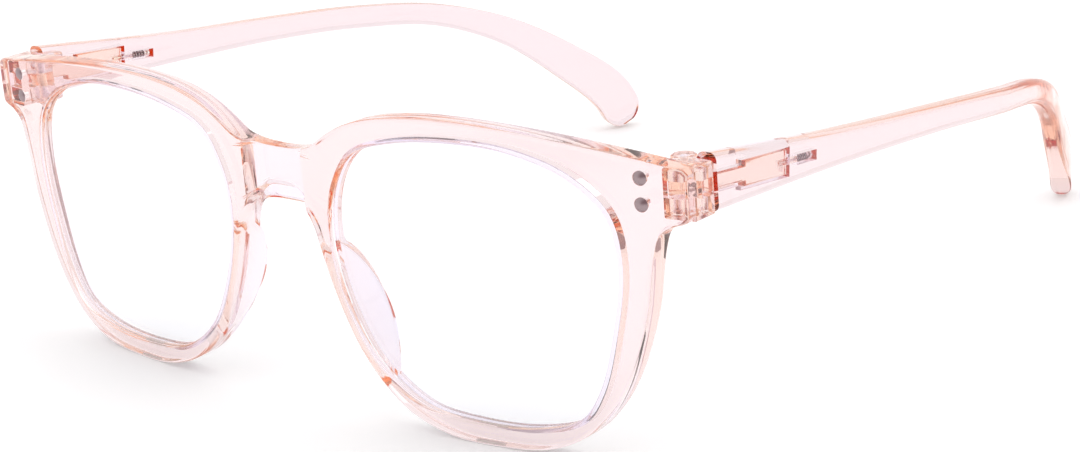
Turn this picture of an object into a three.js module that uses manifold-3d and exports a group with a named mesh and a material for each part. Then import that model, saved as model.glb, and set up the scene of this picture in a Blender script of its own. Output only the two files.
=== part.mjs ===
// Clear moulded glasses with riveted end pieces and sprung hinges, in millimetres.
//
// X runs across the face, with the wearer's left at +X. Y runs from the front of the frame
// back to the temple tips. Z is up. The glasses stand open on z = 0, on their rims and tips,
// and the origin is under the middle of their footprint.
import * as THREE from "three";
import { mergeVertices } from "three/addons/utils/BufferGeometryUtils.js";
import Module from "manifold-3d";

const wasm = await Module();
wasm.setup();

// Driving dimensions.
const halfWidth = 72.4; // middle of the bridge to the outside of a temple
const faceCurve = 0.00152; // the front sweeps back by this times x squared
const frontThickness = 3.8;
const edgeChamfer = 0.5;
const bridge = { recess: 1.5, halfWidth: 5.3, underside: 32, chamferTop: 35.2, chamferDepth: 2.7 };
const footprintMiddle = 73.55; // from the front face to the origin
const fitGap = 0.3; // between pieces that lie against each other
const runningGap = 0.07; // radial, round a shaft in its hole

const lens = {
  thickness: 1.6,
  radius: 265, // sphere of the front surface
  middle: [36, 3.2, 24.4],
  turn: 6.25, // degrees of wrap, to follow the front
  rim: 0.5, // how far the lens edge stands into its groove
};

const hinge = {
  x: 66.9,
  y: 14.75,
  z: 41.15, // middle of the tongue's knuckle
  barrelRadius: 1.9,
  top: 44.9,
  bottom: 37.2,
  innerFace: 67,
  outerFace: 72.35,
  backFace: 14.25, // of the end piece
  knuckle: 2, // height of the tongue's knuckle
  slot: 2.5, // height of the slot that it turns in
  slotFront: 12,
  slotOuter: 71.3,
  screwRadius: 0.5,
  headRadius: 0.85,
  headHeight: 0.65,
  cover: 0.8, // plastic left over the blind end of the screw
  driverSlot: [0.3, 0.3], // width and depth
};

const temple = {
  frontFace: 14.85,
  thickness: 3.3,
  tipThickness: 3.8,
  slope: 6, // degrees that the front half falls
  squareness: 4.5, // exponent of the rounded section
  endRadius: 4.2,
  steps: 34,
};

// Spring box in the temple, in a frame that starts inside the temple and falls with it: "along"
// runs back, "tall" is half a height, and x is the row's own x.
const box = {
  origin: 17,
  front: -4, // ahead of the temple's front face
  throatTall: 1.4,
  start: 4,
  end: 15.5,
  tall: 2.1,
  outer: 71.15,
  wallEnd: 17.3,
  springEnd: 22.8,
  springTall: 0.8,
  springOuter: 71.2,
  middle: 70.2, // x of the tongue and of its screw
};

const tongue = { thickness: 1.4, tall: 1.8, neckStart: -2, start: 5.3, end: 15.2, armTall: 1 };
const rod = { radius: 0.35, start: 13.5, headStart: 21.2, headLength: 0.8, headRadius: 0.6 };
const spring = { start: 17.6, end: 20.9, turns: 5, radius: 0.52, wire: 0.11, stepsPerTurn: 8 };
const rivet = {
  x: 65.5,
  heights: [43.5, 39.7],
  head: 1.05,
  dome: 0.45,
  seat: 0.35, // how deep the head's rim stands in the plastic
  shank: 0.55,
  length: 2.8,
};
const pad = { middle: [12, 4.9, 16.4], half: [1.45, 4, 10.5], lean: 21, splay: 24 };

// Half of the front's outline, as [x, z], from the top of the bridge round to its underside.
const browLine = [
  [0, 41], [4, 41.2], [7.6, 42], [10.6, 43.9], [14.5, 46], [20, 47.7], [27, 48.6],
  [35, 48.8], [44, 48.4], [53, 47.6], [62, 46.5], [69.3, 45.4], [71.6, 45.1], [72.4, 44.3],
];
const cheekLine = [
  [72.4, 38.1], [71.7, 37.3], [69.4, 36.6], [67.6, 35.3], [66.7, 32.7], [66.1, 29.5], [65.3, 24.5],
  [63.6, 18.5], [61.3, 12.8], [58.2, 7.9], [53.8, 3.6], [47.5, 0.8], [39, 0], [31, 0.3],
  [24.6, 2.2], [19.2, 5.4], [14.8, 10.3], [11.7, 15.9], [9.6, 21], [8, 26], [6.9, 29.6],
  [5.6, 31.3], [3.4, 31.9], [0, 32],
];
// Lens opening, as [x, z], anticlockwise from its outer side.
const openingLine = [
  [61, 30], [59.4, 37.4], [53.6, 42.2], [45, 44.9], [35.5, 45.5], [24, 44.4], [16, 41.7],
  [12, 36], [11, 28.5], [13.2, 18.6], [18, 9.9], [25.5, 4.6], [35.5, 3.3], [46, 3.9],
  [53.4, 6.4], [56.7, 11], [59.4, 19.5],
];
// Middle line of a temple, as [x, y, z, half height].
const templeLine = [
  [70.75, 13.3, 41.55, 4.3], [70.75, 45, 38.3, 2.75], [70.75, 70, 35.8, 2.2],
  [69.7, 91, 33.1, 2.1], [65.8, 108, 29.9, 2.1], [60.4, 122, 23.9, 2.7], [55.2, 133, 15.6, 3.6],
  [51.4, 141.5, 7.4, 4.15], [49.9, 144.6, 0.53, 4],
];

const clearPlastic = new THREE.MeshStandardMaterial({ color: "#f3d3d0", roughness: 0.1, metalness: 0 });
const clearLens = new THREE.MeshStandardMaterial({ color: "#eef2f6", roughness: 0.03, metalness: 0 });
const greySteel = new THREE.MeshStandardMaterial({ color: "#83787a", roughness: 0.35, metalness: 1 });

const vector = (x, y, z) => new THREE.Vector3(x, y, z);
const radians = THREE.MathUtils.degToRad;

// A three.js geometry as a solid that can be cut and joined.
function solid(geometry) {
  const bare = geometry.clone();
  bare.deleteAttribute("normal");
  bare.deleteAttribute("uv");
  const merged = mergeVertices(bare, 1e-4);
  return new wasm.Manifold(
    new wasm.Mesh({
      numProp: 3,
      vertProperties: new Float32Array(merged.attributes.position.array),
      triVerts: new Uint32Array(merged.index.array),
    }),
  );
}

function geometryOf(shape) {
  const { vertProperties, triVerts } = shape.getMesh();
  const geometry = new THREE.BufferGeometry();
  geometry.setAttribute("position", new THREE.BufferAttribute(vertProperties, 3));
  geometry.setIndex(new THREE.BufferAttribute(triVerts, 1));
  return geometry;
}

// The same piece for the other side of the face.
function mirrored(geometry) {
  const copy = geometry.clone().applyMatrix4(new THREE.Matrix4().makeScale(-1, 1, 1));
  const index = copy.index.array;
  for (let i = 0; i < index.length; i += 3) {
    const first = index[i];
    index[i] = index[i + 1];
    index[i + 1] = first;
  }
  return copy;
}

function block(low, high) {
  const size = vector(...high).sub(vector(...low));
  const middle = vector(...low).addScaledVector(size, 0.5);
  return new THREE.BoxGeometry(size.x, size.y, size.z).translate(middle.x, middle.y, middle.z);
}

// An upright cylinder on the hinge's axis.
function onHinge(radius, bottom, top) {
  return new THREE.CylinderGeometry(radius, radius, top - bottom, 16)
    .rotateX(Math.PI / 2)
    .translate(hinge.x, hinge.y, (top + bottom) / 2);
}

// Places a geometry made in the spring box's frame, where y is "along" and z is "tall".
function inBox(geometry) {
  return geometry.rotateX(-radians(temple.slope)).translate(0, box.origin, hinge.z);
}

// A round bar on the spring box's middle line.
function barInBox(radius, start, end) {
  const bar = new THREE.CylinderGeometry(radius, radius, end - start, 12);
  return inBox(bar.translate(box.middle, (start + end) / 2, 0));
}

function smooth(points, count, closed = false) {
  const curve = new THREE.CatmullRomCurve3(
    points.map(([x, z]) => vector(x, z, 0)),
    closed,
    "centripetal",
  );
  const spaced = curve.getSpacedPoints(count);
  if (closed) spaced.pop();
  return spaced.map((p) => new THREE.Vector2(p.x, p.y));
}

// Moves a closed outline outwards by a distance.
function grown(points, distance) {
  const count = points.length;
  return points.map((point, i) => {
    const before = points[(i + count - 1) % count];
    const after = points[(i + 1) % count];
    const side = after.clone().sub(before).normalize();
    return new THREE.Vector2(point.x + side.y * distance, point.y - side.x * distance);
  });
}

const openingPoints = smooth(openingLine, 46, true);

function extrudeBack(shape, depth, bevel = 0) {
  const geometry = new THREE.ExtrudeGeometry(shape, {
    depth: depth - 2 * bevel,
    bevelEnabled: bevel > 0,
    bevelThickness: bevel,
    bevelSize: bevel,
    bevelOffset: -bevel,
    bevelSegments: 1,
  });
  return geometry.translate(0, 0, bevel).rotateX(Math.PI / 2).translate(0, depth, 0);
}

// Bends a flat front so that it sweeps back towards the temples.
function wrapped(geometry) {
  const place = geometry.attributes.position;
  for (let i = 0; i < place.count; i++) {
    place.setY(i, place.getY(i) + faceCurve * place.getX(i) ** 2);
  }
  return geometry;
}

function frontPlate() {
  const half = [...smooth(browLine, 28), ...smooth(cheekLine, 42)];
  const middles = half.filter((p) => p.x > 0.01);
  const left = middles.map((p) => new THREE.Vector2(-p.x, p.y)).reverse();
  const shape = new THREE.Shape([half[0], ...middles, half.at(-1), ...left]);
  const mirror = openingPoints.map((p) => new THREE.Vector2(-p.x, p.y)).reverse();
  shape.holes.push(new THREE.Path(openingPoints), new THREE.Path(mirror));
  return solid(wrapped(extrudeBack(shape, frontThickness, edgeChamfer)));
}

// The lens blank is a slice of a round meniscus, edged to the opening's shape.
function lensSolid(edge, extra) {
  const reach = 34;
  const rings = 3;
  const front = lens.radius + extra;
  const back = lens.radius - lens.thickness - extra;
  const arc = (radius, i) => {
    const out = (reach * i) / rings;
    return new THREE.Vector2(out, Math.sqrt(radius ** 2 - out ** 2) - lens.radius + lens.thickness / 2);
  };
  const profile = [];
  for (let i = 0; i <= rings; i++) profile.push(arc(back, i));
  for (let i = rings; i >= 0; i--) profile.push(arc(front, i));
  const blank = new THREE.LatheGeometry(profile, 28)
    .rotateX(Math.PI)
    .rotateZ(radians(lens.turn))
    .translate(...lens.middle);
  const cutter = extrudeBack(new THREE.Shape(grown(openingPoints, edge)), 40).translate(0, -10, 0);
  return solid(blank).intersect(solid(cutter));
}

// Moulded nose pad: a fin that leans with the nose and splays as it runs back.
function padSolid() {
  const [across, deep, tall] = pad.half;
  return new THREE.SphereGeometry(1, 14, 10)
    .scale(across, deep, tall)
    .rotateZ(-radians(pad.splay))
    .rotateY(-radians(pad.lean))
    .translate(...pad.middle);
}

function rivetParts(height, gap) {
  const frontY = faceCurve * rivet.x ** 2;
  const lean = Math.atan(2 * faceCurve * rivet.x);
  const dome = rivet.dome + gap;
  const head = rivet.head + gap;
  const ball = (head ** 2 + dome ** 2) / (2 * dome);
  const profile = [new THREE.Vector2(0, rivet.length + gap)];
  profile.push(new THREE.Vector2(rivet.shank + gap, rivet.length + gap));
  profile.push(new THREE.Vector2(rivet.shank + gap, rivet.seat + gap));
  profile.push(new THREE.Vector2(head, rivet.seat + gap));
  for (let i = 0; i <= 3; i++) {
    const angle = (Math.asin(head / ball) * (3 - i)) / 3;
    profile.push(new THREE.Vector2(ball * Math.sin(angle), ball - dome - ball * Math.cos(angle)));
  }
  return new THREE.LatheGeometry(profile.reverse(), 14).rotateZ(lean).translate(rivet.x, frontY, height);
}

function endPiece() {
  const overlap = 1;
  const plateBack = faceCurve * hinge.innerFace ** 2 + frontThickness - overlap;
  let piece = solid(
    block([hinge.innerFace, plateBack, hinge.bottom], [hinge.outerFace, hinge.backFace, hinge.top]),
  ).add(solid(onHinge(hinge.barrelRadius, hinge.bottom, hinge.top)));
  const slotLow = [hinge.x - hinge.barrelRadius - 1, hinge.slotFront, hinge.z - hinge.slot / 2];
  const slotHigh = [hinge.slotOuter, hinge.y + 4, hinge.z + hinge.slot / 2];
  piece = piece.subtract(solid(block(slotLow, slotHigh)));
  const shank = hinge.screwRadius + runningGap;
  piece = piece.subtract(solid(onHinge(shank, hinge.bottom - 1, hinge.top - hinge.cover)));
  const seat = hinge.bottom + hinge.headHeight + fitGap;
  return piece.subtract(solid(onHinge(hinge.headRadius + fitGap, hinge.bottom - 1, seat)));
}

function frontFrame() {
  const side = endPiece().add(solid(padSolid()));
  let front = frontPlate().add(side).add(solid(mirrored(geometryOf(side))));

  const recess = new THREE.Shape([
    new THREE.Vector2(-bridge.halfWidth - 0.4, -2),
    new THREE.Vector2(bridge.halfWidth + 0.4, -2),
    new THREE.Vector2(bridge.halfWidth, bridge.recess),
    new THREE.Vector2(-bridge.halfWidth, bridge.recess),
  ]);
  const recessCut = new THREE.ExtrudeGeometry(recess, { depth: 30, bevelEnabled: false });
  front = front.subtract(solid(recessCut.translate(0, 0, bridge.underside - 10)));

  const chamferTilt = Math.atan2(bridge.chamferTop - bridge.underside, bridge.chamferDepth);
  const chamferCut = block([-bridge.halfWidth, -12, -20], [bridge.halfWidth, 12, 0])
    .rotateX(-chamferTilt)
    .translate(0, bridge.recess, bridge.chamferTop);
  front = front.subtract(solid(chamferCut));

  const cuts = [geometryOf(lensSolid(lens.rim + fitGap, fitGap))];
  for (const height of rivet.heights) cuts.push(geometryOf(solid(rivetParts(height, runningGap))));
  for (const cut of cuts) {
    front = front.subtract(solid(cut)).subtract(solid(mirrored(cut)));
  }
  return front;
}

// A straight bar of rounded section, laid along the temple's middle line.
function templeBar() {
  const count = 16;
  const section = [];
  for (let i = 0; i < count; i++) {
    const angle = (2 * Math.PI * (i + 0.5)) / count;
    const across = Math.abs(Math.cos(angle)) ** (2 / temple.squareness) * Math.sign(Math.cos(angle));
    const up = Math.abs(Math.sin(angle)) ** (2 / temple.squareness) * Math.sign(Math.sin(angle));
    section.push(new THREE.Vector2(across, up));
  }
  const bar = new THREE.ExtrudeGeometry(new THREE.Shape(section), {
    depth: 1,
    steps: temple.steps,
    bevelEnabled: false,
  });
  const line = new THREE.CatmullRomCurve3(templeLine.map(([x, y, z]) => vector(x, y, z)));
  const tall = new THREE.CatmullRomCurve3(templeLine.map(([, , , h], i) => vector(h, i, 0)));
  const length = line.getLength();
  const place = bar.attributes.position;
  for (let i = 0; i < place.count; i++) {
    const share = 1 - (1 - place.getZ(i)) ** 1.35; // closer steps towards the round end
    const t = line.getUtoTmapping(share);
    const along = line.getTangent(t);
    const out = vector(along.y, -along.x, 0).normalize();
    const up = out.clone().cross(along);
    const toEnd = Math.min(1, (length * (1 - share)) / temple.endRadius);
    const round = Math.max(0.3, Math.sqrt(1 - (1 - toEnd) ** 2));
    const toTip = THREE.MathUtils.smoothstep(share, 0.8, 1);
    const thickness = THREE.MathUtils.lerp(temple.thickness, temple.tipThickness, toTip);
    const point = line
      .getPoint(t)
      .addScaledVector(out, (-place.getX(i) * thickness * (0.4 + 0.6 * round)) / 2)
      .addScaledVector(up, place.getY(i) * tall.getPoint(t).x * round);
    place.setXYZ(i, point.x, point.y, point.z);
  }
  return solid(bar);
}

function templeSolid() {
  const open = hinge.innerFace;
  const trim = block([60, 0, 30], [80, temple.frontFace, 50]);
  const throat = block([open, box.front, -box.throatTall], [box.outer, box.start + 1, box.throatTall]);
  const pocket = block([open, box.start, -box.tall], [box.outer, box.end, box.tall]);
  const roomHigh = [box.springOuter, box.springEnd, box.springTall];
  const room = block([open, box.wallEnd, -box.springTall], roomHigh);
  let shape = templeBar().subtract(solid(trim));
  for (const cut of [throat, pocket, room]) shape = shape.subtract(solid(inBox(cut)));
  return shape.subtract(solid(barInBox(rod.radius + runningGap, box.end - 1, box.wallEnd + 1)));
}

function hingeTongue() {
  const low = hinge.z - hinge.knuckle / 2;
  const high = hinge.z + hinge.knuckle / 2;
  const inner = box.middle - tongue.thickness / 2;
  const outer = box.middle + tongue.thickness / 2;
  const arm = block([hinge.x, hinge.y - 1, low], [outer, hinge.y + 1.5, high]);
  const bar = block([inner, tongue.neckStart, -tongue.armTall], [outer, tongue.start + 1, tongue.armTall]);
  const slab = block([inner, tongue.start, -tongue.tall], [outer, tongue.end, tongue.tall]);
  return solid(onHinge(hinge.barrelRadius, low, high))
    .add(solid(arm))
    .add(solid(inBox(bar)))
    .add(solid(inBox(slab)))
    .subtract(solid(onHinge(hinge.screwRadius + runningGap, low - 1, high + 1)))
    .subtract(solid(barInBox(rod.radius + runningGap, rod.start - fitGap, tongue.end + 1)));
}

function tongueScrew() {
  const shank = solid(barInBox(rod.radius, rod.start, rod.headStart + 0.2));
  return shank.add(solid(barInBox(rod.headRadius, rod.headStart, rod.headStart + rod.headLength)));
}

class Helix extends THREE.Curve {
  getPoint(t) {
    const angle = 2 * Math.PI * spring.turns * t;
    const along = spring.start + spring.wire + t * (spring.end - spring.start - 2 * spring.wire);
    return vector(box.middle + spring.radius * Math.cos(angle), along, spring.radius * Math.sin(angle));
  }
}

function coilSpring() {
  const wire = new THREE.Shape().absarc(0, 0, spring.wire, 0, 2 * Math.PI);
  const coil = new THREE.ExtrudeGeometry(wire, {
    curveSegments: 5,
    steps: Math.round(spring.turns * spring.stepsPerTurn),
    extrudePath: new Helix(),
    bevelEnabled: false,
  });
  return solid(inBox(coil));
}

// The screw goes in from below, so its head is out of sight under the end piece.
function hingeScrew() {
  const head = solid(onHinge(hinge.headRadius, hinge.bottom, hinge.bottom + hinge.headHeight));
  const tip = hinge.top - hinge.cover - fitGap;
  const screw = head.add(solid(onHinge(hinge.screwRadius, hinge.bottom + 0.1, tip)));
  const [slotWidth, slotDepth] = hinge.driverSlot;
  const driver = block([-slotWidth / 2, -2, -1], [slotWidth / 2, 2, slotDepth]);
  driver.translate(hinge.x, hinge.y, hinge.bottom);
  return screw.subtract(solid(driver));
}

const glasses = new THREE.Group();

function addPiece(name, geometry, material) {
  const mesh = new THREE.Mesh(geometry, material);
  mesh.name = name;
  glasses.add(mesh);
}

function addPair(name, shape, material) {
  const geometry = geometryOf(shape);
  addPiece(name.replace("SIDE", "left"), geometry, material);
  addPiece(name.replace("SIDE", "right"), mirrored(geometry), material);
}

addPiece("front_frame", geometryOf(frontFrame()), clearPlastic);
addPair("lens_SIDE", lensSolid(lens.rim, 0), clearLens);
addPair("rivet_SIDE_upper", solid(rivetParts(rivet.heights[0], 0)), greySteel);
addPair("rivet_SIDE_lower", solid(rivetParts(rivet.heights[1], 0)), greySteel);
addPair("temple_SIDE", templeSolid(), clearPlastic);
addPair("hinge_tongue_SIDE", hingeTongue(), clearPlastic);
addPair("hinge_screw_SIDE", hingeScrew(), greySteel);
addPair("tongue_screw_SIDE", tongueScrew(), greySteel);
addPair("coil_spring_SIDE", coilSpring(), greySteel);

glasses.position.y = -footprintMiddle;

export default glasses;
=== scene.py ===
# Clear moulded glasses with riveted end pieces and sprung hinges, standing open.
# Pieces are modelled in millimetres from the front face back, then placed in the row frame.
import math

import bmesh
import bpy
from mathutils import Matrix, Vector


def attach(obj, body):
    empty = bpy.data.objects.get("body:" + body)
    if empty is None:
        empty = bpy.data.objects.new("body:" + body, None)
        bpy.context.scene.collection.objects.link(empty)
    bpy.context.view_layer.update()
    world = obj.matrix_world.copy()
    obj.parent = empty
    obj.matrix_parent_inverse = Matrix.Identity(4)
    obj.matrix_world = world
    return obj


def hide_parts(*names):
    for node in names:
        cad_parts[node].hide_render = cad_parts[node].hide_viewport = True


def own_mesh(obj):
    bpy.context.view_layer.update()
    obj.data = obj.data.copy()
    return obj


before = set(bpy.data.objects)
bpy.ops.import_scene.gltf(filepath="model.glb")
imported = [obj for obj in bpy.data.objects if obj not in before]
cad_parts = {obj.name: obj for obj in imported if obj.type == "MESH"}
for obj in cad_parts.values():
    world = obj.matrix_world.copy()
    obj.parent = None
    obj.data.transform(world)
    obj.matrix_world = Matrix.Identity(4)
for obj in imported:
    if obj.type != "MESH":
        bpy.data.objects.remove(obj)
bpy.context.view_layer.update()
print("frame loaded")

# The row frame's origin lies this far behind the front face, in millimetres.
footprintMiddle = 73.55
toRow = Matrix.Translation((0, -footprintMiddle / 1000, 0)) @ Matrix.Scale(0.001, 4)


def colour(hexText):
    channels = [int(hexText[i:i + 2], 16) / 255 for i in (1, 3, 5)]
    linear = [c / 12.92 if c <= 0.04045 else ((c + 0.055) / 1.055) ** 2.4 for c in channels]
    return (*linear, 1)


def node(tree, kind, links=(), **values):
    made = tree.nodes.new(kind)
    for name, value in values.items():
        if hasattr(made, name):
            setattr(made, name, value)
        else:
            made.inputs[name.replace("_", " ")].default_value = value
    for socket, source in dict(links).items():
        tree.links.new(source, made.inputs[socket])
    return made


def newMaterial(name):
    material = bpy.data.materials.new(name)
    material.use_nodes = True
    tree = material.node_tree
    tree.nodes.clear()
    return material, tree, node(tree, "ShaderNodeOutputMaterial")


# A pattern laid over the object, sized by the real distance between its marks in millimetres.
def grain(tree, spacing, detail=2, stretch=(1, 1, 1)):
    place = node(tree, "ShaderNodeTexCoord")
    scaled = node(tree, "ShaderNodeMapping", {"Vector": place.outputs["Object"]}, Scale=stretch)
    vector = {"Vector": scaled.outputs[0]}
    return node(tree, "ShaderNodeTexNoise", vector, Scale=1000 / spacing, Detail=detail)


plasticLook = {
    "surface": "#f5f1fc",  # faint lilac of a thin wall
    "absorbed": "#fdbc65",  # leaves orange after a long way through
    "strength": 57,  # per metre
    "templeSurface": "#f0e7f0",  # a greyer pink than the front
    "templeStrength": 40,  # weaker, since light runs along the whole length of a temple
    "tongueSurface": "#fffbf6",
    "tongueStrength": 160,  # the hinge tongues are a warmer batch
    "roughness": 0.02,
    "refraction": 1.5,
    "flowSpacing": 6,  # millimetres between the faint waves of the moulding
    "flowHeight": 0.004,
}


# Injection moulded clear polycarbonate: colourless on the flat, pink in depth, orange along an edge.
def clearPlastic(name, surface, strength):
    material, tree, output = newMaterial(name)
    flow = grain(tree, plasticLook["flowSpacing"])
    bump = node(
        tree, "ShaderNodeBump", {"Height": flow.outputs[0]},
        Strength=1, Distance=plasticLook["flowHeight"] / 1000,
    )
    shader = node(tree, "ShaderNodeBsdfPrincipled", {"Normal": bump.outputs[0]})
    shader.inputs["Base Color"].default_value = colour(surface)
    shader.inputs["Roughness"].default_value = plasticLook["roughness"]
    shader.inputs["IOR"].default_value = plasticLook["refraction"]
    shader.inputs["Transmission Weight"].default_value = 1
    absorbed = node(tree, "ShaderNodeVolumeAbsorption")
    absorbed.inputs["Color"].default_value = colour(plasticLook["absorbed"])
    absorbed.inputs["Density"].default_value = strength
    tree.links.new(shader.outputs[0], output.inputs["Surface"])
    tree.links.new(absorbed.outputs[0], output.inputs["Volume"])
    return material


lensLook = {"tint": "#fbfcff", "coating": "#dfe4ff", "roughness": 0.0, "refraction": 1.5}


# Cast resin lens with a hard coat, which gives its reflections a faint blue.
def clearLens():
    material, tree, output = newMaterial("cast resin lens, hard coated")
    shader = node(tree, "ShaderNodeBsdfPrincipled")
    shader.inputs["Base Color"].default_value = colour(lensLook["tint"])
    shader.inputs["Roughness"].default_value = lensLook["roughness"]
    shader.inputs["IOR"].default_value = lensLook["refraction"]
    shader.inputs["Transmission Weight"].default_value = 1
    shader.inputs["Specular Tint"].default_value = colour(lensLook["coating"])
    tree.links.new(shader.outputs[0], output.inputs["Surface"])
    return material


steelLook = {
    "colour": "#a39194", "roughness": 0.34, "platedColour": "#f2e8e4", "platedRoughness": 0.16,
    "grainSpacing": 0.25,  # millimetres, coarser than real tool marks so that they show
    "grainHeight": 0.006,
    "grainStrength": 0.6,
}


# Turned steel with fine tool marks that break up its highlights. Tumbled it is a dull grey, and
# nickel plated it is so bright that it hardly shows inside the clear plastic.
def turnedSteel(name, shade, roughness):
    material, tree, output = newMaterial(name)
    marks = grain(tree, steelLook["grainSpacing"], 3, (1, 1, 4))
    bump = node(
        tree, "ShaderNodeBump", {"Height": marks.outputs[0]},
        Strength=steelLook["grainStrength"], Distance=steelLook["grainHeight"] / 1000,
    )
    shader = node(tree, "ShaderNodeBsdfPrincipled", {"Normal": bump.outputs[0]})
    shader.inputs["Base Color"].default_value = colour(shade)
    shader.inputs["Metallic"].default_value = 1
    shader.inputs["Roughness"].default_value = roughness
    tree.links.new(shader.outputs[0], output.inputs["Surface"])
    return material


plastic = clearPlastic("moulded clear polycarbonate", plasticLook["surface"], plasticLook["strength"])
templePlastic = clearPlastic(
    "moulded pale polycarbonate", plasticLook["templeSurface"], plasticLook["templeStrength"],
)
tonguePlastic = clearPlastic(
    "moulded peach polycarbonate", plasticLook["tongueSurface"], plasticLook["tongueStrength"],
)
resin = clearLens()
steel = turnedSteel("turned and tumbled steel", steelLook["colour"], steelLook["roughness"])
platedSteel = turnedSteel(
    "nickel plated turned steel", steelLook["platedColour"], steelLook["platedRoughness"],
)
print("materials made")


# A point between the middle two of four points, on a smooth curve through all of them.
def splinePoint(points, share):
    knots = [0]
    for start, end in zip(points, points[1:]):
        knots.append(knots[-1] + max((end - start).length, 1e-6) ** 0.5)
    t = knots[1] + share * (knots[2] - knots[1])
    for span, first in ((1, 0), (2, 0), (1, 1)):
        mixed = []
        for i in range(len(points) - 1):
            low = knots[i + first]
            high = knots[i + first + span]
            mixed.append(points[i].lerp(points[i + 1], (t - low) / (high - low)))
        points = mixed
    return points[0]


# A smooth line through the given points, as evenly spaced points.
def smoothLine(given, count, closed=False):
    finer = 24
    points = [Vector(p) for p in given]
    if closed:
        points = [points[-1], *points, points[0], points[1]]
    else:
        points = [2 * points[0] - points[1], *points, 2 * points[-1] - points[-2]]
    dense = []
    for i in range(1, len(points) - 2):
        dense += [splinePoint(points[i - 1:i + 3], k / finer) for k in range(finer)]
    dense.append(points[-2].copy())
    lengths = [0]
    for start, end in zip(dense, dense[1:]):
        lengths.append(lengths[-1] + (end - start).length)
    found = []
    spot = 0
    for k in range(count + 1):
        wanted = lengths[-1] * k / count
        while spot < len(dense) - 2 and lengths[spot + 1] < wanted:
            spot += 1
        share = (wanted - lengths[spot]) / max(lengths[spot + 1] - lengths[spot], 1e-9)
        found.append(dense[spot].lerp(dense[spot + 1], min(share, 1)))
    return found[:-1] if closed else found


def ease(value):
    value = max(0, min(1, value))
    return value * value * (3 - 2 * value)


# A sheet of quads whose corners are placed by a function of column and row. Edges that meet
# are joined.
def surface(columns, rows, place):
    bm = bmesh.new()
    bmesh.ops.create_grid(bm, x_segments=columns, y_segments=rows, size=1)
    for v in bm.verts:
        v.co = place(round((v.co.x + 1) / 2 * columns), round((v.co.y + 1) / 2 * rows))
    bmesh.ops.remove_doubles(bm, verts=bm.verts, dist=1e-4)
    bmesh.ops.dissolve_degenerate(bm, edges=bm.edges, dist=1e-5)
    return bm


def meshOf(bm, name):
    bmesh.ops.recalc_face_normals(bm, faces=bm.faces)
    mesh = bpy.data.meshes.new(name)
    bm.to_mesh(mesh)
    bm.free()
    return mesh


# Joins a tool to a mesh or cuts it away, and returns the new mesh.
def combined(mesh, tool, operation):
    base = bpy.data.objects.new("base", mesh)
    other = bpy.data.objects.new("tool", meshOf(tool, "tool"))
    for item in (base, other):
        bpy.context.scene.collection.objects.link(item)
    step = base.modifiers.new("combine", "BOOLEAN")
    step.operation = operation
    step.object = other
    step.solver = "EXACT"
    evaluated = base.evaluated_get(bpy.context.evaluated_depsgraph_get())
    result = bpy.data.meshes.new_from_object(evaluated)
    for item in (base, other):
        bpy.data.objects.remove(item)
    return result


def block(low, high, edge=0.0):
    bm = bmesh.new()
    bmesh.ops.create_cube(bm, size=1)
    size = Vector(high) - Vector(low)
    middle = (Vector(high) + Vector(low)) / 2
    bmesh.ops.scale(bm, vec=size, verts=bm.verts)
    bmesh.ops.translate(bm, vec=middle, verts=bm.verts)
    if edge:
        bmesh.ops.bevel(
            bm, geom=bm.edges[:], offset=edge, segments=4, profile=0.5, affect="EDGES", material=-1,
        )
    return bm


# A round bar between two points, with softened ends.
def bar(start, end, radius, edge=0.0, segments=40):
    bm = bmesh.new()
    start, end = Vector(start), Vector(end)
    bmesh.ops.create_cone(
        bm, cap_ends=True, segments=segments, radius1=radius, radius2=radius,
        depth=(end - start).length,
    )
    if edge:
        rims = [e for e in bm.edges if abs(e.verts[0].co.z - e.verts[1].co.z) < 1e-6]
        bmesh.ops.bevel(
            bm, geom=rims, offset=edge, segments=3, profile=0.5, affect="EDGES", material=-1,
        )
    turn = Vector((0, 0, 1)).rotation_difference(end - start).to_matrix().to_4x4()
    bmesh.ops.transform(bm, matrix=Matrix.Translation((start + end) / 2) @ turn, verts=bm.verts)
    return bm


# Stands a finished mesh in the row frame as a piece of the object. side -1 mirrors it to the right.
def addPiece(name, mesh, material, body, replaced, side=1, sharp=32):
    bm = bmesh.new()
    bm.from_mesh(mesh)
    bmesh.ops.transform(bm, matrix=toRow @ Matrix.Diagonal((side, 1, 1, 1)), verts=bm.verts)
    bmesh.ops.remove_doubles(bm, verts=bm.verts, dist=1e-8)
    bmesh.ops.recalc_face_normals(bm, faces=bm.faces)
    if bm.calc_volume(signed=True) < 0:
        bmesh.ops.reverse_faces(bm, faces=bm.faces)
    made = bpy.data.meshes.new(name)
    bm.to_mesh(made)
    bm.free()
    made.shade_smooth()
    made.set_sharp_from_angle(angle=math.radians(sharp))
    made.materials.clear()
    made.materials.append(material)
    piece = bpy.data.objects.new(name, made)
    bpy.context.scene.collection.objects.link(piece)
    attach(piece, body)
    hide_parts(replaced)
    return piece


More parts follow.
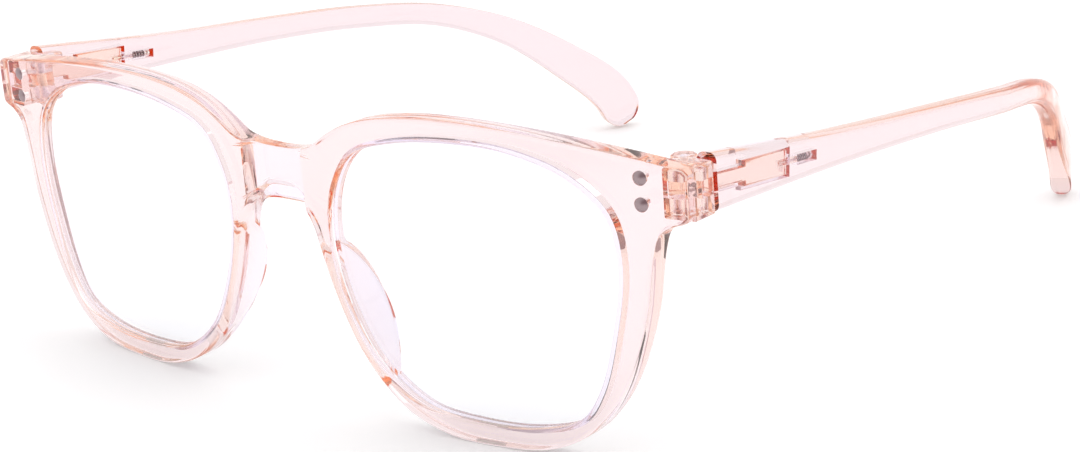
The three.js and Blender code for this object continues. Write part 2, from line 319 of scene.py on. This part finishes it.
front = {
    "curve": 0.00152,  # the front sweeps back by this times x squared, in millimetres
    "thickness": 3.8,
    "edge": 0.55,  # radius of the rounded edges
    "nasalEdge": 1.3,
    "nasalEnd": 24,  # the nasal edge softens inside this distance from the middle
    "nasalBlend": 6,
    "nasalTop": 33,
    "nasalTopBlend": 3,
    "recess": 1.5,  # depth of the bridge behind the rims
    "recessEnd": 5.1,
    "recessBlend": 1.3,
    "undersideSlant": 3.2,
    "slantEnd": 2,
    "slantBlend": 5.5,
    "stepAbove": 28,  # columns follow the bridge's step from this height up
    "stepEnd": 4.2,
    "stepBlend": 2.2,
    "middle": (36, 33),  # each station of the rim looks towards this point
    "groove": 0.8,  # depth of the lens groove
}
browLine = [
    (0, 41), (4, 41.2), (7.6, 42), (10.6, 43.9), (14.5, 46), (20, 47.7), (27, 48.6),
    (35, 48.8), (44, 48.4), (53, 47.6), (62, 46.5), (69.3, 45.4), (71.6, 45.1), (72.4, 44.3),
]
cheekLine = [
    (72.4, 38.1), (71.7, 37.3), (69.4, 36.6), (67.6, 35.3), (66.7, 32.7), (66.1, 29.5), (65.3, 24.5),
    (63.6, 18.5), (61.3, 12.8), (58.2, 7.9), (53.8, 3.6), (47.5, 0.8), (39, 0), (31, 0.3),
    (24.6, 2.2), (19.2, 5.4), (14.8, 10.3), (11.7, 15.9), (9.6, 21), (8, 26), (6.9, 29.6),
    (5.6, 31.3), (3.4, 31.9), (0, 32),
]
openingLine = [
    (61, 30), (59.4, 37.4), (53.6, 42.2), (45, 44.9), (35.5, 45.5), (24, 44.4), (16, 41.7),
    (12, 36), (11, 28.5), (13.2, 18.6), (18, 9.9), (25.5, 4.6), (35.5, 3.3), (46, 3.9),
    (53.4, 6.4), (56.7, 11), (59.4, 19.5),
]
lens = {
    "thickness": 1.6, "radius": 265, "middle": (36, 3.2, 24.4), "turn": 6.25, "rim": 0.5, "gap": 0.15,
    "rings": 10,
}
padShape = {
    "middle": 16.4, "half": 10.2, "fullness": 0.8, "rise": 4.7, "lean": 1.7, "leanCurve": 1.2,
    "innerLean": 0.45, "edge": 0.95, "outerEdge": 1, "reach": 22, "top": 32,
}

lensTurn = Matrix.Rotation(math.radians(lens["turn"]), 3, "Z")


# How far back one of the lens's faces lies over a point of the front, in millimetres.
def lensDepth(x, z, back):
    radius = lens["radius"] - (lens["thickness"] if back else 0)
    centre = Vector(lens["middle"]) + lensTurn @ Vector((0, lens["radius"] - lens["thickness"] / 2, 0))
    across = math.hypot(x - centre.x, z - centre.z)
    return centre.y - math.sqrt(radius ** 2 - across ** 2)


# Which way a closed outline faces at one of its points.
def outwards(points, i):
    before = points[(i - 1) % len(points)]
    after = points[(i + 1) % len(points)]
    along = (after - before).normalized()
    return Vector((along.y, -along.x))


# Where the line from the centre towards a point meets a closed outline, and how it faces there.
def crossing(centre, towards, loop):
    direction = (towards - centre).normalized()
    side = Vector((-direction.y, direction.x))
    for i, start in enumerate(loop):
        end = loop[(i + 1) % len(loop)]
        a = (start - centre).dot(side)
        b = (end - centre).dot(side)
        if (a <= 0 < b or b < 0 <= a) and (start - centre).dot(direction) > 0:
            share = a / (a - b)
            normal = outwards(loop, i).lerp(outwards(loop, (i + 1) % len(loop)), share)
            return start.lerp(end, share), normal.normalized()
    raise ValueError("the two outlines don't face each other")


opening = smoothLine(openingLine, 240, closed=True)
bridgeTop = browLine[0][1]
bridgeUnder = cheekLine[-1][1]
# How many parts each stretch of the rim's outline has.
stationCounts = {"brow": 84, "side": 6, "cheek": 132, "bridge": 9}


def rimStations():
    brow = smoothLine(browLine, stationCounts["brow"])
    cheek = smoothLine(cheekLine, stationCounts["cheek"])
    parts = stationCounts["side"]
    side = [brow[-1].lerp(cheek[0], k / parts) for k in range(1, parts)]
    outer = [*brow, *side, *cheek]
    stations = []
    centre = Vector(front["middle"])
    for i, point in enumerate(outer):
        if i == 0:
            normal = Vector((0, 1))
        elif i == len(outer) - 1:
            normal = Vector((0, -1))
        else:
            along = (outer[i + 1] - outer[i - 1]).normalized()
            normal = Vector((-along.y, along.x))
        stations.append({"outer": point, "normal": normal, "cut": False})
    parts = stationCounts["bridge"]
    for k in range(1, parts):
        point = Vector((0, bridgeUnder + (bridgeTop - bridgeUnder) * k / parts))
        stations.append({"outer": point, "normal": Vector((-1, 0)), "cut": True})
    for station in stations:
        inner, away = crossing(centre, station["outer"], opening)
        station["inner"] = inner
        station["away"] = away
    return stations


# Lifts a point of the bridge so that its underside slants.
def bridged(x, y, z, depth):
    near = 1 - ease((abs(x) - front["slantEnd"]) / front["slantBlend"])
    if near > 0 and z < bridgeTop:
        lift = front["undersideSlant"] * near * max(0, 1 - depth / front["thickness"])
        z += lift * (bridgeTop - z) / (bridgeTop - bridgeUnder)
    return Vector((x, y, z))


def frontDepth(x):
    step = 1 - ease((abs(x) - front["recessEnd"]) / front["recessBlend"])
    return front["curve"] * x * x + front["recess"] * step


def backDepth(x):
    return front["curve"] * x * x + front["thickness"]


def padHeight(z):
    t = (z - padShape["middle"]) / padShape["half"]
    return max(0, 1 - t * t) ** padShape["fullness"]


# Where columns of the front face run beside the bridge, so that they follow its step.
stepLine = (8.9, 7.8, 7, 6.4, 6.1, 5.8, 5.5, 5.2, 4.9)
# How many parts each stretch of the section has.
sectionCounts = {"rim": 4, "face": 14, "edge": 5, "wall": 7, "groove": 4}


# Closed section of the rim at one station, as points in space.
def rimSection(station):
    inner, away = station["inner"], station["away"]
    outer, normal = station["outer"], station["normal"]
    cut = station["cut"]
    nasal = outer.x < padShape["reach"] and outer.y < padShape["top"] and not cut
    pad = padHeight(outer.y) if nasal else 0
    soft = 0
    if not cut:
        beside = ease((front["nasalEnd"] - outer.x) / front["nasalBlend"])
        soft = beside * ease((front["nasalTop"] - outer.y) / front["nasalTopBlend"])
    edge = front["edge"]
    nose = edge + (front["nasalEdge"] - edge) * soft
    backEdge = edge + (padShape["edge"] - edge) * pad
    backNose = edge + (padShape["outerEdge"] - edge) * pad
    rise = padShape["rise"] * pad
    count = sectionCounts["face"]
    corner = sectionCounts["edge"]
    wall = sectionCounts["wall"]

    def spot(flat, y, depth):
        return bridged(flat.x, y, flat.y, depth)

    def leaned(flat, share, amount):
        return Vector((flat.x + amount * pad * share, flat.y))

    deepest = front["thickness"] + rise
    section = []
    # front of the opening's edge
    for k in range(sectionCounts["rim"] + 1):
        angle = math.pi / 2 * k / sectionCounts["rim"]
        start = inner + away * edge * (1 - math.cos(angle))
        depth = edge * (1 - math.sin(angle))
        section.append(spot(start, frontDepth(start.x) + depth, depth))
    reach = 0 if cut else nose
    end = outer - normal * reach
    aligned = 0
    if outer.y > front["stepAbove"]:
        aligned = 1 - ease((end.x - front["stepEnd"]) / front["stepBlend"])
    for k in range(1, count):
        share = k / count
        if aligned and k <= len(stepLine):
            share += aligned * ((start.x - stepLine[k - 1]) / (start.x - end.x) - share)
        elif aligned:
            past = (k - len(stepLine)) / (count - len(stepLine))
            wanted = stepLine[-1] + (end.x - stepLine[-1]) * past
            share += aligned * ((start.x - wanted) / (start.x - end.x) - share)
        flat = start.lerp(end, share)
        section.append(spot(flat, frontDepth(flat.x), 0))
    for k in range(corner + 1):
        angle = math.pi / 2 * k / corner
        if cut:
            depth = nose * k / corner
            flat = outer
        else:
            depth = nose * (1 - math.cos(angle))
            flat = end + normal * nose * math.sin(angle)
        section.append(spot(flat, frontDepth(flat.x) + depth, depth))
    # outer wall, which leans towards the face on a pad
    top = frontDepth(outer.x) + nose
    bottom = backDepth(outer.x) + rise - backNose
    for k in range(1, wall):
        share = k / wall
        y = top + (bottom - top) * share
        flat = leaned(outer, share ** padShape["leanCurve"], padShape["lean"])
        section.append(spot(flat, y, deepest * share))
    end = leaned(outer, 1, padShape["lean"])
    for k in range(corner + 1):
        angle = math.pi / 2 * k / corner
        if cut:
            depth = backNose * (1 - k / corner)
            flat = end
        else:
            depth = backNose * (1 - math.sin(angle))
            flat = end - normal * backNose * (1 - math.cos(angle))
        section.append(spot(flat, backDepth(outer.x) + rise - depth, front["thickness"]))
    # back face
    last = leaned(inner, 1, padShape["innerLean"]) + away * backEdge
    start = end if cut else end - normal * backNose
    for k in range(1, count):
        flat = start.lerp(last, k / count)
        base = outer.x + (inner.x - outer.x) * k / count
        section.append(spot(flat, backDepth(base) + rise, front["thickness"]))
    for k in range(sectionCounts["rim"] + 1):
        angle = math.pi / 2 * k / sectionCounts["rim"]
        flat = last - away * backEdge * math.sin(angle)
        y = backDepth(inner.x) + rise - backEdge * (1 - math.cos(angle))
        section.append(spot(flat, y, front["thickness"]))
    # opening wall with the lens groove
    grooveBack = lensDepth(inner.x, inner.y, True) + lens["gap"]
    grooveFront = lensDepth(inner.x, inner.y, False) - lens["gap"]
    bottom = section[-1].y
    for k in range(1, sectionCounts["groove"]):
        share = k / sectionCounts["groove"]
        flat = leaned(inner, 1 - share, padShape["innerLean"])
        section.append(spot(flat, bottom + (grooveBack - bottom) * share, front["thickness"]))
    deep = inner + away * front["groove"]
    for flat, y in ((inner, grooveBack), (deep, grooveBack), (deep, grooveFront), (inner, grooveFront)):
        section.append(spot(flat, y, front["thickness"] / 2))
    section.append(spot(inner, (grooveFront + section[0].y) / 2, front["thickness"] / 2))
    return section


def frontMesh():
    stations = rimStations()
    sections = [rimSection(s) for s in stations]
    columns = len(sections)
    rows = len(sections[0])
    bm = surface(columns, rows, lambda i, j: sections[i % columns][j % rows])
    middle = [f for f in bm.faces if all(abs(v.co.x) < 1e-3 for v in f.verts)]
    bmesh.ops.delete(bm, geom=middle, context="FACES")
    bmesh.ops.mirror(bm, geom=bm.faces[:] + bm.edges[:] + bm.verts[:], axis="X", merge_dist=2e-3)
    bmesh.ops.recalc_face_normals(bm, faces=bm.faces)
    return meshOf(bm, "front")


hinge = {
    "x": 66.9, "y": 14.75, "z": 41.15, "barrel": 1.9, "top": 44.9, "bottom": 37.2,
    "innerFace": 67, "outerFace": 72.35, "backFace": 14.25, "slot": 2.5, "slotFront": 12,
    "slotOuter": 71.3, "slotBack": 18.75, "knuckle": 2, "blockEdge": 0.35, "barrelEdge": 0.25,
    "barrelInset": 0.01, "screw": 0.5, "screwEdge": 0.12, "head": 0.85, "headHeight": 0.65,
    "slitHalf": 0.15, "slitDepth": 0.3, "cover": 0.8, "play": 0.07, "headPlay": 0.1,
}
rivet = {
    "x": 65.5, "heights": (43.5, 39.7), "head": 1.05, "dome": 0.45, "seat": 0.35,
    "shank": 0.55, "length": 2.8, "play": 0.03, "domeSteps": 8,
}
overlap = 1  # millimetres that a joined or cutting shape reaches past the face it meets


def onHinge(radius, bottom, top, edge=0.0):
    return bar((hinge["x"], hinge["y"], bottom), (hinge["x"], hinge["y"], top), radius, edge)


# The rivet's turned shape, or with a gap the hole that it fills.
def rivetShape(height, gap=0.0):
    frontY = front["curve"] * rivet["x"] ** 2
    head = rivet["head"] + gap
    dome = rivet["dome"] + gap
    ball = (head ** 2 + dome ** 2) / (2 * dome)
    steps = rivet["domeSteps"]
    profile = []
    for k in range(steps + 1):
        angle = math.asin(head / ball) * k / steps
        profile.append((ball * math.sin(angle), ball - dome - ball * math.cos(angle)))
    profile.append((head, rivet["seat"] + gap))
    profile.append((rivet["shank"] + gap, rivet["seat"] + gap))
    profile.append((rivet["shank"] + gap, rivet["length"] + gap))
    profile.append((0, rivet["length"] + gap))
    bm = bmesh.new()
    line = [bm.verts.new((across, along, 0)) for across, along in profile]
    edges = [bm.edges.new(pair) for pair in zip(line, line[1:])]
    bmesh.ops.spin(
        bm, geom=line + edges, cent=(0, 0, 0), axis=(0, 1, 0), angle=2 * math.pi, steps=40,
        use_merge=True,
    )
    bmesh.ops.remove_doubles(bm, verts=bm.verts, dist=1e-4)
    lean = Matrix.Rotation(math.atan(2 * front["curve"] * rivet["x"]), 4, "Z")
    place = Matrix.Translation((rivet["x"], frontY, height))
    bmesh.ops.transform(bm, matrix=place @ lean, verts=bm.verts)
    bmesh.ops.recalc_face_normals(bm, faces=bm.faces)
    return bm


def mirroredCopy(bm):
    copy = bm.copy()
    bmesh.ops.transform(copy, matrix=Matrix.Diagonal((-1, 1, 1, 1)), verts=copy.verts)
    bmesh.ops.recalc_face_normals(copy, faces=copy.faces)
    return copy


def withBothSides(mesh, tool, operation):
    other = mirroredCopy(tool)
    return combined(combined(mesh, tool, operation), other, operation)


def frontFrame():
    mesh = frontMesh()
    plateBack = backDepth(hinge["innerFace"]) - overlap
    low = (hinge["innerFace"], plateBack, hinge["bottom"])
    high = (hinge["outerFace"], hinge["backFace"], hinge["top"])
    mesh = withBothSides(mesh, block(low, high, hinge["blockEdge"]), "UNION")
    inset = hinge["barrelInset"]
    barrel = onHinge(
        hinge["barrel"], hinge["bottom"] + inset, hinge["top"] - inset, hinge["barrelEdge"],
    )
    mesh = withBothSides(mesh, barrel, "UNION")
    slotInner = hinge["x"] - hinge["barrel"] - overlap
    low = (slotInner, hinge["slotFront"], hinge["z"] - hinge["slot"] / 2)
    high = (hinge["slotOuter"], hinge["slotBack"], hinge["z"] + hinge["slot"] / 2)
    mesh = withBothSides(mesh, block(low, high), "DIFFERENCE")
    below = hinge["bottom"] - overlap
    shank = onHinge(hinge["screw"] + hinge["play"], below, hinge["top"] - hinge["cover"])
    mesh = withBothSides(mesh, shank, "DIFFERENCE")
    play = hinge["headPlay"]
    seat = onHinge(hinge["head"] + play, below, hinge["bottom"] + hinge["headHeight"] + play)
    mesh = withBothSides(mesh, seat, "DIFFERENCE")
    for height in rivet["heights"]:
        mesh = withBothSides(mesh, rivetShape(height, rivet["play"]), "DIFFERENCE")
    return mesh


addPiece("clear_front", frontFrame(), plastic, "front", "front_frame")
print("front made")
for side, word in ((1, "left"), (-1, "right")):
    for height, level in zip(rivet["heights"], ("upper", "lower")):
        addPiece(
            f"domed_rivet_{word}_{level}", meshOf(rivetShape(height), "rivet"), steel,
            "front", f"rivet_{word}_{level}", side,
        )


def lensMesh():
    centre = Vector((lens["middle"][0], lens["middle"][2]))
    edge = [p + outwards(opening, i) * lens["rim"] for i, p in enumerate(opening)][::2]
    rings = lens["rings"]
    shares = [k / rings for k in range(rings + 1)]
    rows = [(s, False) for s in shares] + [(s, True) for s in reversed(shares)]

    def place(i, j):
        share, back = rows[j]
        flat = centre.lerp(edge[i % len(edge)], share)
        return Vector((flat.x, lensDepth(flat.x, flat.y, back), flat.y))

    return meshOf(surface(len(edge), len(rows) - 1, place), "lens")


for side, word in ((1, "left"), (-1, "right")):
    addPiece(f"resin_lens_{word}", lensMesh(), resin, "front", f"lens_{word}", side)
print("lenses made")


temple = {
    "frontFace": 14.85, "thickness": 3.3, "tipThickness": 3.8, "tipStart": 0.8, "tipBlend": 0.2,
    "slope": 6, "corner": 1.15, "endRadius": 4.2, "endThin": 0.35, "endClose": 0.12,
    "linePoints": 400, "stations": 120, "endStations": 14, "cornerSteps": 6,
}
# Middle line of a temple and half its height, as (x, y, z, half height).
templeLine = [
    (70.75, 13.3, 41.55, 4.3), (70.75, 45, 38.3, 2.75), (70.75, 70, 35.8, 2.2),
    (69.7, 91, 33.1, 2.1), (65.8, 108, 29.9, 2.1), (60.4, 122, 23.9, 2.7), (55.2, 133, 15.6, 3.6),
    (51.4, 141.5, 7.4, 4.15), (49.9, 144.6, 0.53, 4),
]
# The spring box, measured along the temple from its front face.
box = {
    "origin": 17, "front": -4, "throatTall": 1.4, "start": 4, "end": 15.5, "tall": 2.1, "inner": 65,
    "outer": 71.15, "wallEnd": 17.3, "springEnd": 22.12, "springTall": 0.75, "springOuter": 71.2,
    "middle": 70.2,
}
tongue = {
    "thickness": 1.4, "tall": 1.8, "neckStart": -2, "start": 5.3, "end": 15.2, "armTall": 1,
    "armFront": 1, "armBack": 1.5, "edge": 0.12, "slabEdge": 0.2,
}
rod = {
    "radius": 0.35, "edge": 0.08, "start": 13.5, "tipRoom": 0.3, "headStart": 21.2, "headLength": 0.8,
    "headRadius": 0.6, "headEdge": 0.15, "slitHalf": 0.12, "slitDepth": 0.3,
}
spring = {
    "start": 17.6, "end": 20.9, "turns": 5, "radius": 0.52, "wire": 0.11, "turnSteps": 28, "around": 10,
}

slopeTurn = Matrix.Rotation(-math.radians(temple["slope"]), 4, "X")
intoBox = Matrix.Translation((0, box["origin"], hinge["z"])) @ slopeTurn


def inBox(bm):
    bmesh.ops.transform(bm, matrix=intoBox, verts=bm.verts)
    return bm


def rodBore(start, end):
    middle = box["middle"]
    return inBox(bar((middle, start, 0), (middle, end, 0), rod["radius"] + hinge["play"]))


def templeMesh():
    line = smoothLine(templeLine, temple["linePoints"])
    total = len(line) - 1
    length = sum((b.to_3d() - a.to_3d()).length for a, b in zip(line, line[1:]))
    endShare = temple["endRadius"] / length
    count = temple["stations"]
    stations = [k / count * (1 - endShare) for k in range(count + 1)]
    last = temple["endStations"]
    stations += [1 - endShare * (1 - math.sin(math.pi / 2 * k / last)) for k in range(1, last + 1)]
    corner = temple["cornerSteps"]

    def outline(half, halfTall, radius):
        points = []
        radius = min(radius, half * 0.95, halfTall * 0.95)
        for quarter in range(4):
            right = 1 if quarter in (0, 3) else -1
            up = 1 if quarter in (0, 1) else -1
            for k in range(corner + 1):
                angle = math.pi / 2 * (quarter + k / corner)
                points.append((
                    right * (half - radius) + radius * math.cos(angle),
                    up * (halfTall - radius) + radius * math.sin(angle),
                ))
        return points

    rings = []
    for share in stations:
        spot = min(share * total, total - 1e-6)
        i = int(spot)
        here = line[i].lerp(line[i + 1], spot - i)
        ahead = line[min(i + 3, total)].to_3d()
        behind = line[max(i - 2, 0)].to_3d()
        along = (ahead - behind).normalized()
        out = Vector((along.y, -along.x, 0)).normalized()
        up = out.cross(along)
        toEnd = min(1, (1 - share) / endShare)
        rounding = max(0.02, math.sqrt(max(0, 1 - (1 - toEnd) ** 2)))
        nearTip = ease((share - temple["tipStart"]) / temple["tipBlend"])
        thickness = temple["thickness"] + (temple["tipThickness"] - temple["thickness"]) * nearTip
        thinned = temple["endThin"] + (1 - temple["endThin"]) * rounding
        half = thickness / 2 * thinned * (rounding if toEnd < temple["endClose"] else 1)
        ring = []
        for across, tall in outline(half, here.w * rounding, temple["corner"]):
            ring.append(here.to_3d() + out * across + up * tall)
        rings.append(ring)
    around = len(rings[0])
    bm = surface(len(rings) - 1, around, lambda i, j: rings[i][j % around])
    ends = [e for e in bm.edges if e.is_boundary]
    bmesh.ops.holes_fill(bm, edges=ends, sides=0)
    cut = bmesh.ops.bisect_plane(
        bm, geom=bm.verts[:] + bm.edges[:] + bm.faces[:], plane_co=(0, temple["frontFace"], 0),
        plane_no=(0, 1, 0), clear_inner=True,
    )
    rim = [e for e in cut["geom_cut"] if isinstance(e, bmesh.types.BMEdge)]
    bmesh.ops.holes_fill(bm, edges=rim, sides=0)
    mesh = meshOf(bm, "temple")
    rooms = (
        (box["outer"], box["front"], box["start"] + overlap, box["throatTall"]),
        (box["outer"], box["start"], box["end"], box["tall"]),
        (box["springOuter"], box["wallEnd"], box["springEnd"], box["springTall"]),
    )
    for outer, start, end, tall in rooms:
        room = block((box["inner"], start, -tall), (outer, end, tall))
        mesh = combined(mesh, inBox(room), "DIFFERENCE")
    return combined(mesh, rodBore(box["end"] - overlap, box["wallEnd"] + overlap), "DIFFERENCE")


for side, word in ((1, "left"), (-1, "right")):
    addPiece(
        f"clear_temple_{word}", templeMesh(), templePlastic,
        f"{word}_temple", f"temple_{word}", side,
    )
print("temples made")


def tongueMesh():
    low = hinge["z"] - hinge["knuckle"] / 2
    high = hinge["z"] + hinge["knuckle"] / 2
    inner = box["middle"] - tongue["thickness"] / 2
    outer = box["middle"] + tongue["thickness"] / 2
    edge = tongue["edge"]
    mesh = meshOf(onHinge(hinge["barrel"], low, high, edge), "tongue")
    armFront = hinge["y"] - tongue["armFront"]
    armBack = hinge["y"] + tongue["armBack"]
    arm = block((hinge["x"], armFront, low), (outer, armBack, high), edge)
    neckLow = (inner, tongue["neckStart"], -tongue["armTall"])
    neck = block(neckLow, (outer, tongue["start"] + overlap, tongue["armTall"]), edge)
    slabLow = (inner, tongue["start"], -tongue["tall"])
    slab = block(slabLow, (outer, tongue["end"], tongue["tall"]), tongue["slabEdge"])
    for part in (arm, inBox(neck), inBox(slab)):
        mesh = combined(mesh, part, "UNION")
    pinHole = onHinge(hinge["screw"] + hinge["play"], low - overlap, high + overlap)
    mesh = combined(mesh, pinHole, "DIFFERENCE")
    bore = rodBore(rod["start"] - rod["tipRoom"], tongue["end"] + overlap)
    return combined(mesh, bore, "DIFFERENCE")


def tongueScrewMesh():
    middle = box["middle"]
    headStart = rod["headStart"]
    headEnd = headStart + rod["headLength"]
    shank = bar((middle, rod["start"], 0), (middle, headStart + 0.2, 0), rod["radius"], rod["edge"])
    head = bar((middle, headStart, 0), (middle, headEnd, 0), rod["headRadius"], rod["headEdge"])
    mesh = combined(meshOf(inBox(shank), "screw"), inBox(head), "UNION")
    half = rod["slitHalf"]
    depth = rod["slitDepth"]
    slit = block((middle - 1, headEnd - depth, -half), (middle + 1, headEnd + depth, half))
    return combined(mesh, inBox(slit), "DIFFERENCE")


# The screw goes in from below, so its head is out of sight under the end piece.
def hingeScrewMesh():
    bottom = hinge["bottom"]
    tip = hinge["top"] - hinge["cover"] - 0.2
    edge = hinge["screwEdge"]
    shank = meshOf(onHinge(hinge["screw"], bottom + 0.1, tip, edge), "screw")
    mesh = combined(shank, onHinge(hinge["head"], bottom, bottom + hinge["headHeight"], edge), "UNION")
    slit = block((-hinge["slitHalf"], -2, -1), (hinge["slitHalf"], 2, hinge["slitDepth"]))
    bmesh.ops.translate(slit, vec=(hinge["x"], hinge["y"], bottom), verts=slit.verts)
    return combined(mesh, slit, "DIFFERENCE")


def springMesh():
    around = spring["around"]
    steps = spring["turns"] * spring["turnSteps"]
    first = spring["start"] + spring["wire"]
    rise = spring["end"] - spring["start"] - 2 * spring["wire"]

    def place(i, j):
        angle = 2 * math.pi * spring["turns"] * i / steps
        outward = Vector((math.cos(angle), 0, math.sin(angle)))
        lean = rise / (2 * math.pi * spring["turns"] * spring["radius"])
        along = Vector((-math.sin(angle), lean, math.cos(angle))).normalized()
        turn = 2 * math.pi * j / around
        middle = Vector((box["middle"], first + rise * i / steps, 0)) + outward * spring["radius"]
        sideways = along.cross(outward)
        return middle + spring["wire"] * (outward * math.cos(turn) + sideways * math.sin(turn))

    bm = surface(steps, around, place)
    bmesh.ops.holes_fill(bm, edges=[e for e in bm.edges if e.is_boundary], sides=0)
    return meshOf(inBox(bm), "spring")


for side, word in ((1, "left"), (-1, "right")):
    addPiece(
        f"clear_tongue_{word}", tongueMesh(), tonguePlastic,
        f"{word}_tongue", f"hinge_tongue_{word}", side,
    )
    addPiece(
        f"turned_tongue_screw_{word}", tongueScrewMesh(), platedSteel,
        f"{word}_tongue", f"tongue_screw_{word}", side,
    )
    addPiece(
        f"turned_hinge_screw_{word}", hingeScrewMesh(), platedSteel,
        f"{word}_pin", f"hinge_screw_{word}", side,
    )
    coil = addPiece(
        f"wound_spring_{word}", springMesh(), steel,
        f"{word}_temple", f"coil_spring_{word}", side,
    )
    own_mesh(coil)
print("hinges made")


studio = {
    "floorColour": "#fdfdfd", "floorSize": 3, "floorRoughness": 0.6, "floorSpecular": 0.2,
    "floorGlow": 0.17, "sky": "#ffffff", "skyStrength": 1.06, "shade": "#ac969a",
    "shadeFrom": (0.66, -0.74, 0.12), "shadeStart": 0.45, "shadeFull": 0.85,
    "boxPower": 0.6, "boxSize": 0.7, "boxPlace": (0.15, 0.1, 0.75), "bounces": 32,
}
camera = {
    "target": (0.005026, -0.019964, 0.013637), "azimuth": 41.616, "elevation": 17.817, "roll": -4.571,
    "distance": 0.45766, "lens": 92.54, "sensor": 36, "clipStart": 0.01,
}


def addFloor():
    mesh = bpy.data.meshes.new("floor")
    bm = bmesh.new()
    bmesh.ops.create_grid(bm, x_segments=1, y_segments=1, size=studio["floorSize"])
    bm.to_mesh(mesh)
    bm.free()
    material, tree, output = newMaterial("matt white studio paper")
    shader = node(tree, "ShaderNodeBsdfPrincipled")
    shader.inputs["Base Color"].default_value = colour(studio["floorColour"])
    shader.inputs["Roughness"].default_value = studio["floorRoughness"]
    shader.inputs["Specular IOR Level"].default_value = studio["floorSpecular"]
    shader.inputs["Emission Color"].default_value = colour(studio["floorColour"])
    shader.inputs["Emission Strength"].default_value = studio["floorGlow"]
    tree.links.new(shader.outputs[0], output.inputs["Surface"])
    mesh.materials.append(material)
    floor = bpy.data.objects.new("floor", mesh)
    bpy.context.scene.collection.objects.link(floor)


# White all round, and darker towards the front left, so that clear edges are drawn.
def addSky():
    world = bpy.data.worlds.new("studio")
    bpy.context.scene.world = world
    world.use_nodes = True
    tree = world.node_tree
    tree.nodes.clear()
    place = node(tree, "ShaderNodeTexCoord")
    direction = {0: place.outputs["Generated"]}
    facing = node(tree, "ShaderNodeVectorMath", direction, operation="DOT_PRODUCT")
    facing.inputs[1].default_value = studio["shadeFrom"]
    ramp = node(tree, "ShaderNodeValToRGB", {"Fac": facing.outputs["Value"]})
    stops = (("shadeStart", "sky"), ("shadeFull", "shade"))
    for element, (position, tint) in zip(ramp.color_ramp.elements, stops):
        element.position = studio[position]
        element.color = colour(studio[tint])
    shaded = {"Color": ramp.outputs[0]}
    light = node(tree, "ShaderNodeBackground", shaded, Strength=studio["skyStrength"])
    output = node(tree, "ShaderNodeOutputWorld")
    tree.links.new(light.outputs[0], output.inputs["Surface"])


def addSoftbox():
    data = bpy.data.lights.new("softbox", "AREA")
    data.energy = studio["boxPower"]
    data.size = studio["boxSize"]
    lamp = bpy.data.objects.new("softbox", data)
    bpy.context.scene.collection.objects.link(lamp)
    lamp.location = studio["boxPlace"]
    lamp.rotation_euler = Vector(studio["boxPlace"]).to_track_quat("Z", "Y").to_euler()


def addCamera():
    azimuth = math.radians(camera["azimuth"])
    elevation = math.radians(camera["elevation"])
    roll = math.radians(camera["roll"])
    flat = math.cos(elevation)
    back = Vector((math.sin(azimuth) * flat, -math.cos(azimuth) * flat, math.sin(elevation)))
    level = Vector((math.cos(azimuth), math.sin(azimuth), 0))
    upright = back.cross(level)
    right = level * math.cos(roll) + upright * math.sin(roll)
    up = upright * math.cos(roll) - level * math.sin(roll)
    data = bpy.data.cameras.new("camera")
    data.lens = camera["lens"]
    data.sensor_width = camera["sensor"]
    data.clip_start = camera["clipStart"]
    made = bpy.data.objects.new("camera", data)
    bpy.context.scene.collection.objects.link(made)
    turn = Matrix((right, up, back)).transposed().to_4x4()
    made.matrix_world = Matrix.Translation(Vector(camera["target"]) + back * camera["distance"]) @ turn
    bpy.context.scene.camera = made


addFloor()
addSky()
addSoftbox()
addCamera()
bpy.context.scene.view_settings.view_transform = "Standard"
# Light that runs along inside clear plastic turns many times before it comes out.
cycles = bpy.context.scene.cycles
cycles.max_bounces = studio["bounces"]
cycles.glossy_bounces = studio["bounces"]
cycles.transmission_bounces = studio["bounces"]
print("studio made")
